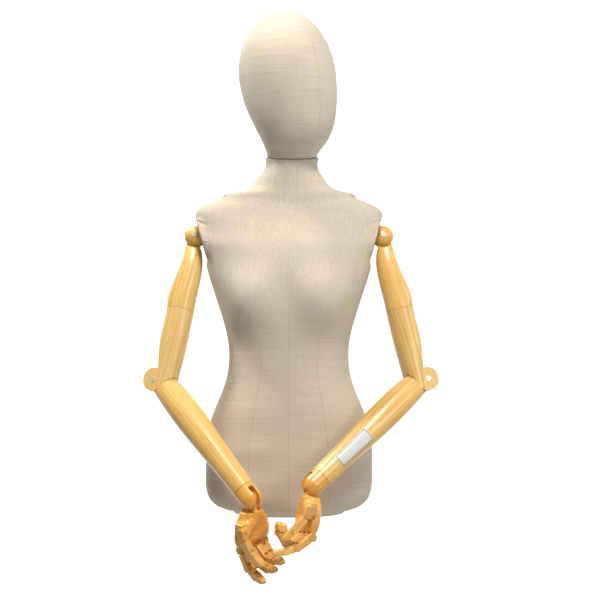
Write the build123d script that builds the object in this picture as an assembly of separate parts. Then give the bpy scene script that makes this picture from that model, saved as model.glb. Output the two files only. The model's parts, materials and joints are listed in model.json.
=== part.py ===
from build123d import *
import math
import os

os.makedirs("parts", exist_ok=True)

# Dress form with jointed wooden arms. All sizes in mm.
# Frame: origin at the centre of the stand socket's mouth, in the flat base plane.
# +Z up, the figure faces -Y, and +X is the figure's own left.

# ------------------------------------------------------------ driving sizes
COVER_T = 1.2             # linen cover
SHELL_T = 4.0             # moulded shell
TORSO_SIDES = 20          # points round one torso or head section

NECK_CENTRE = (6.0, -7.0, 669.0)
NECK_TILT = 10.0          # neck top slopes down to the front, degrees
NECK_PLATE_T = 8.0
STUD_R = 8.0
STUD_UP = 34.0
NUT_R = 13.0
NUT_T = 8.0
STUD_BELOW = 12.0         # thread below the neck plate
PLUG_OVER = 6.0           # head plug above the stud's bore
HEAD_TURN = 33.0          # head turned to the figure's left
HEAD_GAP = 0.5

BOARD_T = 14.0
SOCKET_R = 12.75          # bore for a 25 mm pole
SOCKET_OUTER_R = 17.0
SOCKET_DEPTH = 120.0
FLANGE_R = 42.0
FLANGE_T = 4.0
SOCKET_END_T = 4.0        # closed end of the socket
SCREW_RING_R = 30.0
SCREW_R = 2.0
SCREW_HEAD_R = 4.2
SCREW_HEAD_T = 2.5
SCREW_LEN = 12.0
CLAMP_Z = 42.0
CLAMP_R = 3.0
CLAMP_LEN = 14.0
CLAMP_BOSS_R = 7.0
CLAMP_BOSS_T = 6.0
HEX_R = 1.5               # socket in the clamp screw's end

SHOULDER = (178.0, 4.0, 520.5)
ARMHOLE_X = 163.5         # armhole face's half distance at ARMHOLE_Z
ARMHOLE_Z = 514.0
ARMHOLE_LEAN = 15.0
ARMHOLE_HALF = (46.0, 50.0)   # half depth and half height of its oval
BALL_R = 21.0
CUP_R = 22.2              # recess in the armhole face that the ball sits in
CUP_DEPTH = 10.0
STUB_R = 9.0
SHOULDER_TONGUE_R = 14.0
SHOULDER_TONGUE_T = 12.0
SHOULDER_RIVET_R = 3.0
STUB_LEN = 46.0
STUB_HOLE_GAP = 0.6
STUB_END_R = 14.0         # collar that keeps the stub in
STUB_END_T = 6.0
BEARING_R = 25.0
BEARING_T = 4.0
FIT = 0.05                # radial clearance of a running fit
GAP = 0.4                 # clearance between turning faces

UPPER_LEN = 282.0         # shoulder pivot to the elbow, along the arm
UPPER_CUT = 143.0         # where the upper arm is cut through and turns
ELBOW_OUT = 15.0          # elbow pivot's offset to the outside
ELBOW_R = 22.0
ELBOW_FACE = 22.5         # elbow pivot to the forearm's shoulder
FORE_CUT = 279.0          # elbow pivot to the wrist cut
FORE_LEN = 300.0          # elbow pivot to the wrist pin
TONGUE_T = 14.0
SLOT_GAP = 0.3            # each side of a tongue
ARM_RIVET_R = 4.0
RIVET_HEAD_R = 4.8
RIVET_HEAD_T = 2.0
RIVET_BORE_R = 1.3
RIVET_BORE_DEPTH = 2.5
ELBOW_W = 42.0            # across the elbow's cheeks
TENON_R = 9.0
TENON_LEN = 34.0
WRIST_R = 20.0
WRIST_TONGUE = 10.0
WRIST_TONGUE_R = 12.0
WRIST_TENON_R = 7.0
WRIST_TENON_LEN = 4.0
WRIST_PIN_R = 2.5

PALM_LEN = 90.0           # wrist pin to the knuckle pin
DISH_R = 66.0             # shallow hollow of the palm, cut by a ball
DISH_OUT = 76.0
KNUCKLE_R = 7.5
TIP_R = 6.0
FINGER_W = 15.0
FINGER_PITCH = 16.6
FINGER_TONGUE = 5.0
FINGER_GAP = 0.2
FINGER_PIN_R = 1.3
FINGER_EDGE_R = 3.0
TIP_END = 5.0             # length of a finger tip's taper
DIGIT_RADII = (KNUCKLE_R, 6.8, TIP_R, TIP_R)

BALL_OUT = ((SHOULDER[0] - ARMHOLE_X) * math.cos(math.radians(ARMHOLE_LEAN))
            - (SHOULDER[2] - ARMHOLE_Z) * math.sin(math.radians(ARMHOLE_LEAN)))

# height, half width, front depth, back depth, squareness of the outline
TORSO = [
    (0, 104, 66, 66, 2.3),
    (8, 126, 80, 78, 2.3),
    (18, 145, 92, 91, 2.3),
    (34, 155, 99, 101, 2.3),
    (65, 158.5, 101, 109, 2.3),
    (105, 158.5, 99, 111.5, 2.3),
    (142, 155.5, 96, 106, 2.3),
    (176, 147, 93, 95, 2.3),
    (208, 134.5, 90, 84, 2.3),
    (240, 122, 86, 76, 2.2),
    (275, 114.5, 83, 70.5, 2.2),
    (310, 114, 82, 69.5, 2.2),
    (345, 120, 86, 73, 2.2),
    (380, 130.5, 90, 79, 2.2),
    (415, 142, 93, 86, 2.3),
    (450, 153, 91.5, 91.5, 2.4),
    (485, 161, 84, 94, 2.5),
    (520, 169, 71, 92.5, 2.6),
    (548, 176, 59, 88, 2.7),
    (564, 178, 53, 82, 2.7),
    (576, 166, 49, 77, 2.6),
    (590, 134, 46, 69, 2.5),
    (606, 97, 45, 61, 2.3),
    (624, 68, 46.5, 54, 2.1),
    (642, 54.5, 49, 48, 2.0),
    (662, 49.5, 52, 43.5, 2.0),
    (682, 48.5, 55, 41, 2.0),
    (702, 48, 58, 38.5, 2.0),
]
NECK_SHIFT_FROM = 590.0   # the neck leans to the figure's left above this height
NECK_SHIFT = 6.0
BUST_X = 72.0
BUST_Z = 395.0
BUST_OUT = 27.0
BUST_SPREAD = (46.0, 52.0)

# height over the neck, half width, half length, shift of the centre to the back
HEAD = [
    (0, 46, 46.5, 0),
    (8, 48, 50, -1),
    (18, 52.5, 57, -5),
    (32, 60, 67, -9),
    (48, 67, 77, -8),
    (75, 76, 90, -2),
    (100, 81, 100, 6),
    (125, 83.5, 106, 12),
    (150, 84.5, 108, 17),
    (174, 83, 105, 20),
    (196, 79, 98, 22),
    (217, 71.5, 88, 24),
    (236, 60, 74, 25),
    (252, 47, 59, 26),
    (264, 33, 42, 27),
    (272, 20, 26, 27),
    (276, 8, 11, 27),
]


# arm pieces: level, outer half width, inner half width, half depth, squareness
UPPER_ROWS = [
    (-23.0, 15, 16, 14, 2.2),
    (-45.0, 15.5, 23, 19.5, 2.2),
    (-72.0, 19.5, 26, 23, 2.1),
    (-104.0, 26, 26, 25.5, 2.0),
    (-UPPER_CUT, 26, 26, 26, 2.0),
]
FORK_ROWS = [
    (-UPPER_CUT - GAP, 26, 26, 26, 2.0),
    (-175.0, 26.5, 26, 26, 2.0),
    (-205.0, 27, 25.5, 26, 2.0),
    (-224.0, 24.5, 24.5, 25.5, 2.1),
    (-250.0, 18.5, 22.5, 24, 2.3),
    (-UPPER_LEN, 13, 20, 22, 2.6),
    (-UPPER_LEN - 26.0, 10, 19, 21, 2.6),
]
FOREARM_ROWS = [
    (-ELBOW_FACE, 20, 27, 23, 2.2),
    (-45.0, 22, 30, 25, 2.1),
    (-85.0, 24, 31, 27, 2.0),
    (-130.0, 24, 29, 26.5, 2.0),
    (-190.0, 22, 25, 23.5, 2.0),
    (-240.0, 20.5, 22, 21.5, 2.0),
    (-FORE_CUT, 20.5, 20.5, 20.5, 2.0),
]
PALM_ROWS = [
    (-WRIST_R - 1.0, 21, 21, 16, 2.3),
    (-32.0, 27, 27, 16.5, 2.3),
    (-46.0, 33.5, 33.5, 16, 2.4),
    (-62.0, 37.5, 37.5, 14.5, 2.5),
    (-73.0, 37.5, 37.5, 12.5, 2.6),
    (-81.0, 35, 35, 8.4, 2.8),
    (-PALM_LEN, 33.2, 33.2, 7.2, 3.0),
]

# rest pose of the arms: side +1 is the figure's left arm, side -1 its right arm
ARM_REST = {
    1: {"elbow": (238.5, -38.0, 245.5), "wrist": (44.0, -156.0, 74.0), "hand": (-0.15, -0.2, -0.97)},
    -1: {"elbow": (-229.0, -45.0, 246.5), "wrist": (-65.0, -182.0, 55.0), "hand": (0.02, 0.28, -0.96)},
}
# flexion at the knuckle, middle and end joint, index to little finger, then the thumb
FINGER_REST = {
    1: [(50, 16, 10), (52, 84, 36), (58, 78, 30), (62, 70, 30), (34, 8)],
    -1: [(34, 34, 14), (52, 36, 18), (58, 40, 20), (36, 44, 18), (30, 30)],
}
FINGER_LENGTHS = [(34, 23, 21), (36, 25, 22), (34, 23, 21), (28, 20, 19)]
THUMB_LENGTHS = (34, 28)
THUMB_BASE = (36.0, -19.0, -54.0)
THUMB_TURN = 14.0         # thumb's hinge turned towards the palm
FINGER_NAMES = ["index", "middle", "ring", "little"]
SEGMENT_NAMES = ["base", "middle", "tip"]
SIDE_NAMES = {1: "left", -1: "right"}


# ------------------------------------------------------------ vector helpers
def unit(v):
    size = math.sqrt(sum(c * c for c in v))
    return tuple(c / size for c in v)


def cross(a, b):
    return (a[1] * b[2] - a[2] * b[1], a[2] * b[0] - a[0] * b[2], a[0] * b[1] - a[1] * b[0])


def along(point, direction, distance):
    return tuple(p + d * distance for p, d in zip(point, direction))


def frame_at(origin, x_dir, z_dir):
    return Plane(origin=origin, x_dir=x_dir, z_dir=z_dir).location


def rod(radius, length, axis, centre=(0, 0, 0)):
    """Cylinder centred on a point, along the local X, Y or Z axis."""
    turn = {"X": (0, 90, 0), "Y": (90, 0, 0), "Z": (0, 0, 0)}[axis]
    return Location(centre) * Rotation(*turn) * Cylinder(radius, length)


def block(x_size, y_size, z_size, centre=(0, 0, 0)):
    return Location(centre) * Box(x_size, y_size, z_size)


def oval(z, half_x_out, half_x_in, half_y, square=2.0, sides=24):
    """Closed smooth outline at height z, with its own half width on each side of the axis."""
    points = []
    for i in range(sides):
        t = 2 * math.pi * i / sides
        c, s = math.cos(t), math.sin(t)
        half_x = half_x_out if c > 0 else half_x_in
        x = half_x * math.copysign(abs(c) ** (2 / square), c)
        y = half_y * math.copysign(abs(s) ** (2 / square), s)
        points.append((x, y, z))
    return Face(Wire([Spline(points, periodic=True)]))


def tube_through(rows, sides=24):
    """Loft through ovals given as (z, outer half width, inner half width, half depth, squareness)."""
    return loft([oval(*row, sides=sides) for row in rows])


# ------------------------------------------------------------ torso
def slope_allowance(index):
    """How far a wall's inner face steps in level, for one mm of wall, where the form slopes."""
    below = TORSO[max(index - 1, 0)]
    above = TORSO[min(index + 1, len(TORSO) - 1)]
    rise = above[0] - below[0]
    run = above[1] - below[1]
    return min(math.hypot(rise, run) / rise, 2.4)


def torso_outline(index, inset):
    z, half, front, back, square = TORSO[index]
    step = inset * slope_allowance(index)
    points = []
    for i in range(TORSO_SIDES):
        t = 2 * math.pi * i / TORSO_SIDES
        c, s = math.cos(t), math.sin(t)
        depth = back if s > 0 else front
        x = (half - step) * math.copysign(abs(c) ** (2 / square), c)
        x += NECK_SHIFT * max(0.0, z - NECK_SHIFT_FROM) / (NECK_CENTRE[2] - NECK_SHIFT_FROM)
        y = (depth - inset) * math.copysign(abs(s) ** (2 / square), s)
        if s < 0:
            y -= BUST_OUT * bust_share(x, z)
        points.append((x, y, z))
    return Face(Wire([Spline(points, periodic=True)]))


def bust_share(x, z):
    """Height of the bust at a place on the front, from 0 to 1."""
    across = (abs(x) - BUST_X) / BUST_SPREAD[0]
    up = (z - BUST_Z) / BUST_SPREAD[1]
    return math.exp(-across * across - up * up)


def neck_frame():
    tilt = math.radians(NECK_TILT)
    return frame_at(NECK_CENTRE, (1, 0, 0), (0, -math.sin(tilt), math.cos(tilt)))


def armhole_frame(side):
    """At the armhole face, Z pointing out of the torso."""
    lean = math.radians(ARMHOLE_LEAN)
    return frame_at((side * ARMHOLE_X, 0, ARMHOLE_Z), (0, 1, 0),
                    (side * math.cos(lean), 0, -math.sin(lean)))


def torso_body(inset):
    """The torso's solid form, inset from its outer face by a wall."""
    body = loft([torso_outline(i, inset) for i in range(len(TORSO))])
    body -= neck_frame() * block(200, 200, 200, (0, 0, 100))
    for side in (-1, 1):
        body -= armhole_frame(side) * armhole_prism(inset)
        depth = CUP_DEPTH + inset
        body -= hub_frame(side) * rod(CUP_R + inset, depth, "Z", (0, 0, -BALL_OUT - depth / 2))
    return body


def armhole_prism(inset):
    """What the flat oval armhole face removes, grown by the wall."""
    outline = Plane((0, 0, -inset)) * Ellipse(ARMHOLE_HALF[0] + inset, ARMHOLE_HALF[1] + inset)
    return extrude(outline, 60)


def hub_frame(side):
    """At the shoulder ball's centre, Z pointing out along the stub."""
    lean = math.radians(ARMHOLE_LEAN)
    return frame_at(shoulder_point(side), (0, 1, 0), (side * math.cos(lean), 0, -math.sin(lean)))


def shoulder_point(side):
    return (side * SHOULDER[0], SHOULDER[1], SHOULDER[2])


# ------------------------------------------------------------ head
def head_outline(row, inset):
    z, half, length, shift = row
    points = []
    for i in range(TORSO_SIDES):
        t = 2 * math.pi * i / TORSO_SIDES
        points.append(((half - inset) * math.cos(t), (length - inset) * math.sin(t) + shift, z))
    return Face(Wire([Spline(points, periodic=True)]))


def head_body(inset):
    rows = [row for row in HEAD if row[1] - inset > 3]
    return loft([head_outline(row, inset) for row in rows])


def head_frame():
    return neck_frame() * Location((0, 0, HEAD_GAP)) * Rotation(0, 0, HEAD_TURN)


def torso_parts():
    outer = torso_body(0)
    middle = torso_body(COVER_T)
    inner = torso_body(COVER_T + SHELL_T)
    hole_r = STUB_R + STUB_HOLE_GAP
    stub_holes = [hub_frame(side) * rod(hole_r, 2 * STUB_LEN, "Z", (0, 0, -STUB_LEN))
                  for side in (-1, 1)]
    cover = outer - middle
    shell = middle - inner
    for hole in stub_holes:
        cover -= hole
        shell -= hole
    board = inner & block(400, 400, BOARD_T, (0, 0, BOARD_T / 2))
    board -= rod(SOCKET_OUTER_R, 4 * BOARD_T, "Z")
    plate = inner & neck_frame() * block(200, 200, NECK_PLATE_T, (0, 0, -NECK_PLATE_T / 2))
    plate -= neck_frame() * rod(STUD_R, 60, "Z")
    parts = {"torso_cover": cover, "torso_shell": shell, "neck_plate": plate}
    screws = [Location((x, y, 0)) * flange_screw() for x, y in screw_places()]
    for screw in screws:
        board -= screw
    parts["base_board"] = board
    parts["stand_socket"] = stand_socket(screws)
    parts["socket_screws"] = Compound(children=screws)
    parts["stand_clamp_screw"] = clamp_screw()
    parts["neck_stud"] = neck_stud()
    parts["shoulder_plates"] = Compound(children=[shoulder_plate(side) for side in (-1, 1)])
    return parts


def screw_places():
    turns = [math.radians(a) for a in (45, 135, 225, 315)]
    return [(SCREW_RING_R * math.cos(a), SCREW_RING_R * math.sin(a)) for a in turns]


def flange_screw():
    """Countersunk wood screw whose head lies in the socket's flange."""
    top = BOARD_T + FLANGE_T
    shank = rod(SCREW_R, SCREW_LEN, "Z", (0, 0, top - SCREW_LEN / 2))
    head = Location((0, 0, top - SCREW_HEAD_T / 2)) * Cone(SCREW_R, SCREW_HEAD_R, SCREW_HEAD_T)
    return shank + head


def stand_socket(screws):
    """Flanged tube on the board's top face, open at the base plane and closed above."""
    length = SOCKET_DEPTH + SOCKET_END_T
    tube = rod(SOCKET_OUTER_R, length, "Z", (0, 0, length / 2))
    tube += rod(FLANGE_R, FLANGE_T, "Z", (0, 0, BOARD_T + FLANGE_T / 2))
    tube += rod(CLAMP_BOSS_R, CLAMP_BOSS_T, "Y", (0, SOCKET_OUTER_R + 1, CLAMP_Z))
    tube -= rod(SOCKET_R, SOCKET_DEPTH, "Z", (0, 0, SOCKET_DEPTH / 2))
    tube -= rod(CLAMP_R, 20, "Y", (0, SOCKET_OUTER_R, CLAMP_Z))
    for screw in screws:
        tube -= screw
    return tube


def clamp_screw():
    """Grub screw that holds the pole in the socket."""
    start = SOCKET_R + SLOT_GAP
    screw = rod(CLAMP_R, CLAMP_LEN, "Y", (0, start + CLAMP_LEN / 2, CLAMP_Z))
    return screw - rod(HEX_R, CLAMP_LEN - 8, "Y", (0, start + CLAMP_LEN, CLAMP_Z))


def neck_stud():
    """Steel stud with a nut below the neck plate; the head turns on it."""
    below = NECK_PLATE_T + STUD_BELOW
    stud = rod(STUD_R, STUD_UP + below, "Z", (0, 0, (STUD_UP - below) / 2))
    nut = Location((0, 0, -NECK_PLATE_T - NUT_T)) * extrude(RegularPolygon(NUT_R, 6), NUT_T)
    return neck_frame() * (stud + nut)


def shoulder_plate(side):
    """Steel bearing plate inside the shoulder, on the stub's axis."""
    depth = BALL_OUT + CUP_DEPTH + COVER_T + SHELL_T
    plate = rod(BEARING_R, BEARING_T, "Z", (0, 0, -depth - BEARING_T / 2))
    plate -= rod(STUB_R + FIT, 20, "Z", (0, 0, -depth))
    return hub_frame(side) * plate


def head_parts():
    outer = head_body(0)
    middle = head_body(COVER_T)
    inner = head_body(COVER_T + SHELL_T)
    height = STUD_UP + PLUG_OVER
    plug = inner & block(200, 200, height, (0, 0, height / 2))
    bore = rod(STUD_R + FIT, STUD_UP + 1, "Z", (0, 0, (STUD_UP + 1) / 2 - HEAD_GAP))
    parts = {"head_cover": outer - middle, "head_shell": middle - inner, "head_plug": plug - bore}
    return {name: head_frame() * solid for name, solid in parts.items()}


# ------------------------------------------------------------ arms at rest
class ArmFrames:
    """Rest axes and places of one arm. Z runs up each piece and X points outwards."""

    def __init__(self, side):
        rest = ARM_REST[side]
        self.shoulder = shoulder_point(side)
        down = unit(tuple(e - s for e, s in zip(rest["elbow"], self.shoulder)))
        lean = math.radians(ARMHOLE_LEAN)
        self.stub = (side * math.cos(lean), 0.0, -math.sin(lean))
        centre = along(self.shoulder, down, UPPER_LEN)
        reach = tuple(w - c for w, c in zip(rest["wrist"], centre))
        inward = unit(tuple(r - d * sum(a * b for a, b in zip(reach, down))
                            for r, d in zip(reach, down)))
        outward = tuple(-c for c in inward)
        self.down = down
        self.shoulder_pin = unit(cross(self.stub, down))
        self.elbow = along(centre, outward, ELBOW_OUT)
        self.fore = unit(tuple(w - e for w, e in zip(rest["wrist"], self.elbow)))
        self.elbow_pin = cross(tuple(-c for c in down), outward)
        self.wrist = along(self.elbow, self.fore, FORE_LEN)
        self.hand = unit(rest["hand"])
        self.wrist_pin = unit(cross(self.fore, self.hand))
        up = tuple(-c for c in down)
        back = tuple(-c for c in self.fore)
        self.at_hub = frame_at(self.shoulder, cross(self.shoulder_pin, self.stub), self.stub)
        self.at_upper = frame_at(self.shoulder, cross(self.shoulder_pin, up), up)
        self.at_fork = frame_at(self.shoulder, outward, up)
        self.at_fore = frame_at(self.elbow, cross(self.elbow_pin, back), back)
        self.at_block = frame_at(self.wrist, self.wrist_pin, back)
        self.at_palm = frame_at(self.wrist, self.wrist_pin, tuple(-c for c in self.hand))

    def bend(self):
        """Elbow's bend at rest, in degrees."""
        return math.degrees(math.acos(sum(a * b for a, b in zip(self.down, self.fore))))


# ------------------------------------------------------------ arm pieces
def arm_rivet(radius, head_radius, half_length):
    """Headed rivet along Y, centred."""
    rivet = rod(radius, 2 * half_length, "Y")
    for end in (-1, 1):
        face = half_length + RIVET_HEAD_T / 2
        rivet += rod(head_radius, RIVET_HEAD_T, "Y", (0, end * half_length, 0))
        rivet -= rod(RIVET_BORE_R, 2 * RIVET_BORE_DEPTH, "Y", (0, end * face, 0))
    return rivet


def shoulder_hub(rivet):
    """Ball fork on its stub. Z points out of the torso and the pin is along Y."""
    depth = BALL_OUT + CUP_DEPTH + COVER_T + SHELL_T + BEARING_T + GAP
    hub = Sphere(BALL_R)
    hub += rod(STUB_R, depth, "Z", (0, 0, -depth / 2))
    hub += rod(STUB_END_R, STUB_END_T, "Z", (0, 0, -depth - STUB_END_T / 2))
    floor = SHOULDER_TONGUE_R + 0.6
    hub -= block(60, SHOULDER_TONGUE_T + 2 * SLOT_GAP, 60, (0, 0, 30 - floor))
    return hub - rivet


def upper_arm():
    """From the shoulder tongue to the cut, with the tenon that the elbow fork turns on."""
    body = tube_through(UPPER_ROWS)
    tongue = rod(SHOULDER_TONGUE_R, SHOULDER_TONGUE_T, "Y")
    neck = block(26, SHOULDER_TONGUE_T, 26, (0, 0, -13))
    neck &= rod(27.0, SHOULDER_TONGUE_T, "Y")
    tenon = rod(TENON_R, TENON_LEN, "Z", (0, 0, -UPPER_CUT - TENON_LEN / 2))
    arm = body + neck + tongue + tenon
    return arm - rod(SHOULDER_RIVET_R + FIT, 60, "Y")


def elbow_fork(bend, rivet):
    """Turning lower part of the upper arm, ending in the cheeks of the elbow."""
    top = -UPPER_CUT - GAP
    body = tube_through(FORK_ROWS)
    pivot = (ELBOW_OUT, 0, -UPPER_LEN)
    cheeks = rod(ELBOW_R, ELBOW_W, "Y", pivot)
    cheeks += block(ELBOW_R, ELBOW_W, 30, (ELBOW_OUT - ELBOW_R / 2 - 4, 0, -UPPER_LEN + 2))
    fork = body + cheeks
    slot = TONGUE_T + 2 * SLOT_GAP
    fork -= Location(pivot) * rod(ELBOW_R + 0.6, slot, "Y")
    for step in range(5):
        swung = Location(pivot) * Rotation(0, bend * step / 4, 0)
        fork -= swung * block(200, 160, 80, (0, 0, -40 - ELBOW_FACE + GAP))
        fork -= swung * block(2 * ELBOW_R - 5, slot, 40, (0, 0, -20))
    fork -= rod(TENON_R + FIT, TENON_LEN + GAP + 1, "Z", (0, 0, top - (TENON_LEN + 1 - GAP) / 2))
    return fork - Location(pivot) * rivet


def forearm():
    """From the elbow tongue to the wrist cut, with the tenon that the wrist block turns on."""
    body = tube_through(FOREARM_ROWS)
    tongue = rod(ELBOW_R - 0.2, TONGUE_T, "Y")
    neck = block(2 * ELBOW_R - 8, TONGUE_T, ELBOW_FACE + 2, (0, 0, -ELBOW_FACE / 2 - 1))
    tenon = rod(WRIST_TENON_R, WRIST_TENON_LEN, "Z", (0, 0, -FORE_CUT - WRIST_TENON_LEN / 2))
    arm = body + neck + tongue + tenon
    return arm - rod(ARM_RIVET_R + FIT, 80, "Y")


def wrist_block(pin):
    """Ball fork between the forearm and the hand, its pin along X."""
    top = FORE_LEN - FORE_CUT - GAP
    ball = Sphere(WRIST_R)
    collar = rod(WRIST_R, top, "Z", (0, 0, top / 2))
    piece = ball + collar
    floor = WRIST_TONGUE_R + 0.6
    piece -= block(WRIST_TONGUE + 2 * SLOT_GAP, 60, 60, (0, 0, floor - 30))
    piece -= rod(WRIST_TENON_R + FIT, 2 * (WRIST_TENON_LEN + 0.4), "Z", (0, 0, top + GAP))
    return piece - pin


# ------------------------------------------------------------ hands
def cross_pin(radius, length, x=0.0, y=0.0, z=0.0):
    return rod(radius, length, "X", (x, y, z))


def knuckle_places():
    return [(i - 1.5) * FINGER_PITCH for i in range(4)]


def thumb_place(side):
    x, y, z = THUMB_BASE
    return Location((side * x, y, z)) * Rotation(0, 0, -side * THUMB_TURN)


def hand_pins(side):
    """Wrist pin, the long knuckle pin and the thumb's base pin."""
    wrist = cross_pin(WRIST_PIN_R, 2 * WRIST_R - 2)
    knuckle = cross_pin(FINGER_PIN_R, 3 * FINGER_PITCH + FINGER_W - 1, z=-PALM_LEN)
    thumb = thumb_place(side) * cross_pin(FINGER_PIN_R, FINGER_W - 0.6)
    return [wrist, knuckle, thumb]


def palm(side):
    wrist_pin, knuckle_pin, thumb_pin = hand_pins(side)
    body = tube_through(PALM_ROWS)
    body += rod(KNUCKLE_R, 3 * FINGER_PITCH + FINGER_W, "X", (0, 0, -PALM_LEN))
    body -= Location((0, -DISH_OUT, -54.0)) * Sphere(DISH_R)
    body += rod(WRIST_TONGUE_R, WRIST_TONGUE, "X")
    body += block(WRIST_TONGUE, 2 * WRIST_TONGUE_R - 3, WRIST_R + 2, (0, 0, -WRIST_R / 2 - 1))
    lug = rod(KNUCKLE_R, FINGER_W, "X")
    lug += block(FINGER_W, 2 * KNUCKLE_R, 16, (0, 0, 8))
    lug += block(FINGER_W, 18, 22, (-side * 3, 6, 12))
    body += thumb_place(side) * lug
    slot_top = KNUCKLE_R + 0.8
    slot = block(FINGER_TONGUE + 2 * FINGER_GAP, 60, 60, (0, 0, slot_top - 30))
    for x in knuckle_places():
        body -= Location((x, 0, -PALM_LEN)) * slot
    thumb_slot = block(FINGER_TONGUE + 2 * FINGER_GAP, 2 * slot_top + 10, slot_top + 24,
                       (0, -5, slot_top / 2 - 12))
    body -= thumb_place(side) * thumb_slot
    body -= rod(WRIST_PIN_R + FIT, 60, "X")
    return body - knuckle_pin - thumb_pin


def phalanx(length, base_r, tip_r, last):
    """One finger piece hanging from its hinge: tongue at the top, fork or rounded tip below."""
    shoulder = 1.06 * base_r
    tongue = rod(0.98 * base_r, FINGER_TONGUE, "X")
    tongue += block(FINGER_TONGUE, 1.7 * base_r, shoulder + 2, (0, 0, -shoulder / 2 - 1))
    tongue -= rod(FINGER_PIN_R + FIT, 40, "X")
    end = length - TIP_END if last else length - 1.06 * tip_r
    half_base, half_tip = base_r - 0.1, tip_r - (1.0 if last else 0.0)
    top = Plane((0, 0, -shoulder)) * RectangleRounded(FINGER_W, 2 * half_base, FINGER_EDGE_R)
    low_w = FINGER_W - (2.0 if last else 0.0)
    low = Plane((0, 0, -end)) * RectangleRounded(low_w, 2 * half_tip, FINGER_EDGE_R)
    body = loft([top, low])
    if last:
        nail = Plane((0, 0, -length)) * RectangleRounded(low_w - 6, 2 * half_tip - 6, 1.5)
        body += loft([low, nail])
        return body + tongue, None
    pin = cross_pin(FINGER_PIN_R, FINGER_W - 0.6, z=-length)
    fork = rod(0.98 * tip_r, FINGER_W, "X", (0, 0, -length))
    fork += block(FINGER_W, 1.8 * tip_r, 1.2 * tip_r, (0, 0, -length + 0.6 * tip_r))
    body += fork
    slot_top = tip_r + 0.7
    body -= block(FINGER_TONGUE + 2 * FINGER_GAP, 60, 40, (0, 0, -length + slot_top - 20))
    return body + tongue - pin, pin


def bent(angle):
    """Flexion towards the palm, about the local X axis."""
    return Rotation(-angle, 0, 0)


def digit(place, lengths, angles, radii):
    """A finger or thumb as a list of (location, piece) from the base outwards."""
    pieces = []
    for i, (length, angle) in enumerate(zip(lengths, angles)):
        place = place * bent(angle)
        piece, pin = phalanx(length, radii[i], radii[i + 1], i == len(lengths) - 1)
        pieces.append((place, piece, pin))
        place = place * Location((0, 0, -length))
    return pieces


def finger_x(side, index):
    """Index finger on the thumb's side of the palm."""
    return side * (1.5 - index) * FINGER_PITCH


def hand_digits(side, at_palm):
    """Name to (location, piece, pin) for all fourteen finger pieces of one hand."""
    pieces = {}
    for i, name in enumerate(FINGER_NAMES):
        place = at_palm * Location((finger_x(side, i), 0, -PALM_LEN))
        chain = digit(place, FINGER_LENGTHS[i], FINGER_REST[side][i], DIGIT_RADII)
        for segment, entry in zip(SEGMENT_NAMES, chain):
            pieces[f"{name}_{segment}"] = entry
    chain = digit(at_palm * thumb_place(side), THUMB_LENGTHS, FINGER_REST[side][4], DIGIT_RADII)
    for segment, entry in zip(("base", "tip"), chain):
        pieces[f"thumb_{segment}"] = entry
    return pieces


def arm_parts(side):
    frames = ArmFrames(side)
    name = SIDE_NAMES[side]
    shoulder_rivet = arm_rivet(SHOULDER_RIVET_R, RIVET_HEAD_R, BALL_R - 0.4)
    elbow_rivet = arm_rivet(ARM_RIVET_R, RIVET_HEAD_R, ELBOW_W / 2)
    wrist_pin, knuckle_pin, thumb_pin = hand_pins(side)
    parts = {
        "shoulder_hub": frames.at_hub * shoulder_hub(shoulder_rivet),
        "shoulder_rivet": frames.at_hub * shoulder_rivet,
        "upper_arm": frames.at_upper * upper_arm(),
        "elbow_fork": frames.at_fork * elbow_fork(frames.bend(), elbow_rivet),
        "elbow_rivet": frames.at_fork * Location((ELBOW_OUT, 0, -UPPER_LEN)) * elbow_rivet,
        "forearm": frames.at_fore * forearm(),
        "wrist_block": frames.at_block * wrist_block(wrist_pin),
        "wrist_pin": frames.at_block * wrist_pin,
        "palm": frames.at_palm * palm(side),
        "hand_pins": Compound(children=[frames.at_palm * knuckle_pin, frames.at_palm * thumb_pin]),
    }
    for piece_name, (place, piece, pin) in hand_digits(side, frames.at_palm).items():
        solids = [place * piece] if pin is None else [place * piece, place * pin]
        parts[piece_name] = Compound(children=solids)
    return {f"{name}_{key}": solid for key, solid in parts.items()}


def all_parts():
    parts = torso_parts()
    parts.update(head_parts())
    for side in (1, -1):
        parts.update(arm_parts(side))
    return parts


for node, solid in all_parts().items():
    export_step(solid, f"parts/{node}.step")
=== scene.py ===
import json
import math
import random

import bmesh
import bpy
import numpy as np
from mathutils import Matrix, Vector
from mathutils.bvhtree import BVHTree


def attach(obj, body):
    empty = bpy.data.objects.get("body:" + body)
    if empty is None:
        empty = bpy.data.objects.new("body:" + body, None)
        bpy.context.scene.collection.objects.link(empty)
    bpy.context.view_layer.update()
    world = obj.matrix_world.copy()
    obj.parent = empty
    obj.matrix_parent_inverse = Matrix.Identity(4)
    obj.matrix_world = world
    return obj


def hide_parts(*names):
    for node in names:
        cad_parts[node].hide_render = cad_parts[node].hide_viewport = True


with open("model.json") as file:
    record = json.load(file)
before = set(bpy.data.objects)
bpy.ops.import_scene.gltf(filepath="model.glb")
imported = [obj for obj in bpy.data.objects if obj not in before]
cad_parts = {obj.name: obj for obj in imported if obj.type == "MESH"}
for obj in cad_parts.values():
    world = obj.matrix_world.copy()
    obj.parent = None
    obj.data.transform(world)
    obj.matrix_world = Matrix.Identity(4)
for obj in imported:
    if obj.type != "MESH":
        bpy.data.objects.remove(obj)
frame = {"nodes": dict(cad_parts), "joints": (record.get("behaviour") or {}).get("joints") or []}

for spare in ("Cube", "Camera", "Light"):
    if spare in bpy.data.objects:
        bpy.data.objects.remove(bpy.data.objects[spare])
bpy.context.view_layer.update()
nodes = frame["nodes"]
scene = bpy.context.scene


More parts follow.
